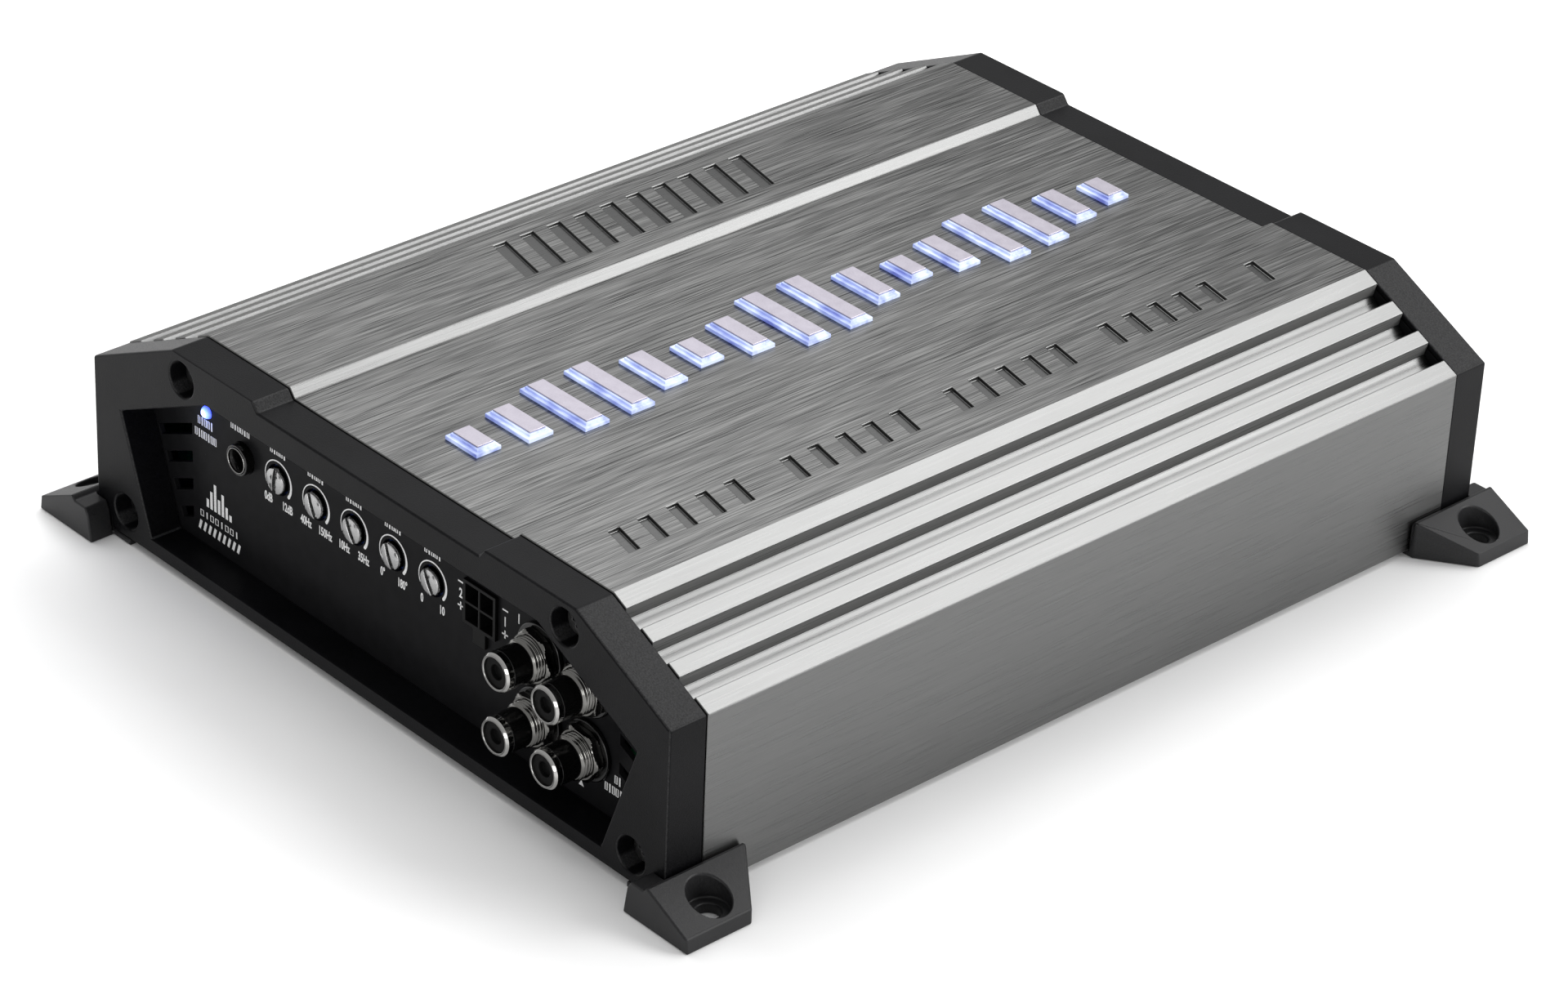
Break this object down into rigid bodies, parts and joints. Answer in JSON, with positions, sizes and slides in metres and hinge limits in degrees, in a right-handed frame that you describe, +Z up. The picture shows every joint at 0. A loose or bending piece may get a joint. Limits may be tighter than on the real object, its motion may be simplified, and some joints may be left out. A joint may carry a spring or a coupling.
{
  "type": "car amplifier",
  "caption": "Compact car audio amplifier with a ribbed brushed aluminium heatsink, black end caps, mounting feet, phono inputs, trim controls, fused clamp terminals and a lit emblem.",
  "frame": {"origin": "centre of the case in plan, on the surface that the feet stand on", "axes": "+X across the case to the right when facing the controls, -Y towards the control panel, +Z up"},
  "size_m": [0.209, 0.2406, 0.0545],
  "materials": {
    "brushed_aluminium": "brushed along the case, clear anodised",
    "cap_coating": "fine textured black powder coat",
    "foot_coating": "fine textured black powder coat",
    "panel_lacquer": "satin black lacquer with white printed marks",
    "cover_coating": "satin black coat on sheet steel",
    "screw_steel": "zinc plated",
    "black_screw_steel": "black zinc",
    "circuit_board": "solder mask",
    "white_board": "white solder mask",
    "blue_plastic": "moulded",
    "black_plastic": "moulded",
    "terminal_plastic": "moulded, lightly textured",
    "fuse_plastic": "clear amber",
    "blue_acrylic": "polished, lit blue from below",
    "blue_light": "lit blue lens",
    "emblem_metal": "satin",
    "plain_aluminium": "mill finish",
    "nickel": "nickel plated",
    "knob_metal": "satin, turned",
    "contact_brass": "bright",
    "cage_steel": "nickel plated",
    "copper_wire": "enamelled wire",
    "ferrite": "ground ferrite",
    "capacitor_sleeve": "shrink sleeve",
    "pad_rubber": "silicone sheet"
  },
  "bodies": {
    "case": {"heatsink": "brushed_aluminium", "front_end_cap": "cap_coating", "rear_end_cap": "cap_coating", "front_panel": "panel_lacquer", "rear_panel": "panel_lacquer", "bottom_cover": "cover_coating", "foot_front_left": "foot_coating", "foot_front_right": "foot_coating", "foot_rear_left": "foot_coating", "foot_rear_right": "foot_coating", "end_cap_screws": "black_screw_steel", "cover_and_foot_screws": "black_screw_steel", "internal_screws": "screw_steel", "main_board": "circuit_board", "control_board": "circuit_board", "pot_bodies": "blue_plastic", "rca_barrels": "nickel", "rca_sleeves": "black_plastic", "rca_insulators": "black_plastic", "rca_contacts": "contact_brass", "rca_nuts": "nickel", "rca_washers": "black_plastic", "remote_jack_body": "black_plastic", "remote_jack_ring": "nickel", "status_led": "blue_light", "level_input_socket": "black_plastic", "level_input_pins": "contact_brass", "power_terminal_housing": "terminal_plastic", "speaker_terminal_housing": "terminal_plastic", "terminal_contacts": "contact_brass", "fuse_holder": "terminal_plastic", "emblem_light_board": "white_board", "emblem_diffusers": "blue_acrylic", "emblem_tops": "emblem_metal", "toroid_core": "ferrite", "toroid_winding": "copper_wire", "output_choke": "ferrite", "capacitors": "capacitor_sleeve", "transistors": "black_plastic", "insulating_pads": "pad_rubber", "transistor_clamp_bars": "plain_aluminium"},
    "bass_boost_shaft": {"bass_boost_pot": "knob_metal"},
    "low_pass_shaft": {"low_pass_pot": "knob_metal"},
    "subsonic_shaft": {"subsonic_pot": "knob_metal"},
    "phase_shaft": {"phase_pot": "knob_metal"},
    "input_gain_shaft": {"input_gain_pot": "knob_metal"},
    "fuse_one_body": {"fuse_one": "fuse_plastic"},
    "fuse_two_body": {"fuse_two": "fuse_plastic"},
    "fuse_three_body": {"fuse_three": "fuse_plastic"},
    "supply_screw": {"supply_clamp_screw": "screw_steel"},
    "supply_cage": {"supply_clamp_cage": "cage_steel"},
    "remote_screw": {"remote_clamp_screw": "screw_steel"},
    "remote_cage": {"remote_clamp_cage": "cage_steel"},
    "ground_screw": {"ground_clamp_screw": "screw_steel"},
    "ground_cage": {"ground_clamp_cage": "cage_steel"},
    "speaker_plus_screw": {"speaker_plus_clamp_screw": "screw_steel"},
    "speaker_plus_cage": {"speaker_plus_clamp_cage": "cage_steel"},
    "speaker_minus_screw": {"speaker_minus_clamp_screw": "screw_steel"},
    "speaker_minus_cage": {"speaker_minus_clamp_cage": "cage_steel"}
  },
  "joints": [
    {"name": "bass_boost_turn", "type": "hinge", "parent": "case", "child": "bass_boost_shaft", "pos_m": [-0.0388, -0.1065, 0.0322], "axis": [0, 1, 0], "range_deg": [-146, 134]},
    {"name": "low_pass_turn", "type": "hinge", "parent": "case", "child": "low_pass_shaft", "pos_m": [-0.0263, -0.1065, 0.0322], "axis": [0, 1, 0], "range_deg": [-117, 163]},
    {"name": "subsonic_turn", "type": "hinge", "parent": "case", "child": "subsonic_shaft", "pos_m": [-0.0138, -0.1065, 0.0322], "axis": [0, 1, 0], "range_deg": [-112, 168]},
    {"name": "phase_turn", "type": "hinge", "parent": "case", "child": "phase_shaft", "pos_m": [-0.0013, -0.1065, 0.0322], "axis": [0, 1, 0], "range_deg": [-117, 163]},
    {"name": "input_gain_turn", "type": "hinge", "parent": "case", "child": "input_gain_shaft", "pos_m": [0.0112, -0.1065, 0.0322], "axis": [0, 1, 0], "range_deg": [-112, 168]},
    {"name": "fuse_one_pull", "type": "slide", "parent": "case", "child": "fuse_one_body", "axis": [0, 1, 0], "range_m": [0, 0.02]},
    {"name": "fuse_two_pull", "type": "slide", "parent": "case", "child": "fuse_two_body", "axis": [0, 1, 0], "range_m": [0, 0.02]},
    {"name": "fuse_three_pull", "type": "slide", "parent": "case", "child": "fuse_three_body", "axis": [0, 1, 0], "range_m": [0, 0.02]},
    {"name": "supply_screw_turn", "type": "hinge", "parent": "case", "child": "supply_screw", "pos_m": [-0.052, 0.1164, 0.03], "axis": [0, 0, -1], "range_deg": [0, 2025]},
    {"name": "supply_cage_rise", "type": "slide", "parent": "case", "child": "supply_cage", "axis": [0, 0, 1], "range_m": [0, 0.0045]},
    {"name": "remote_screw_turn", "type": "hinge", "parent": "case", "child": "remote_screw", "pos_m": [-0.0385, 0.1164, 0.03], "axis": [0, 0, -1], "range_deg": [0, 2025]},
    {"name": "remote_cage_rise", "type": "slide", "parent": "case", "child": "remote_cage", "axis": [0, 0, 1], "range_m": [0, 0.0045]},
    {"name": "ground_screw_turn", "type": "hinge", "parent": "case", "child": "ground_screw", "pos_m": [-0.025, 0.1164, 0.03], "axis": [0, 0, -1], "range_deg": [0, 2025]},
    {"name": "ground_cage_rise", "type": "slide", "parent": "case", "child": "ground_cage", "axis": [0, 0, 1], "range_m": [0, 0.0045]},
    {"name": "speaker_plus_screw_turn", "type": "hinge", "parent": "case", "child": "speaker_plus_screw", "pos_m": [0.036, 0.1164, 0.03], "axis": [0, 0, -1], "range_deg": [0, 2025]},
    {"name": "speaker_plus_cage_rise", "type": "slide", "parent": "case", "child": "speaker_plus_cage", "axis": [0, 0, 1], "range_m": [0, 0.0045]},
    {"name": "speaker_minus_screw_turn", "type": "hinge", "parent": "case", "child": "speaker_minus_screw", "pos_m": [0.0495, 0.1164, 0.03], "axis": [0, 0, -1], "range_deg": [0, 2025]},
    {"name": "speaker_minus_cage_rise", "type": "slide", "parent": "case", "child": "speaker_minus_cage", "axis": [0, 0, 1], "range_m": [0, 0.0045]}
  ],
  "couplings": [
    {"joint": "supply_screw_turn", "follows": "supply_cage_rise", "rad_per_m": 7854},
    {"joint": "remote_screw_turn", "follows": "remote_cage_rise", "rad_per_m": 7854},
    {"joint": "ground_screw_turn", "follows": "ground_cage_rise", "rad_per_m": 7854},
    {"joint": "speaker_plus_screw_turn", "follows": "speaker_plus_cage_rise", "rad_per_m": 7854},
    {"joint": "speaker_minus_screw_turn", "follows": "speaker_minus_cage_rise", "rad_per_m": 7854}
  ]
}
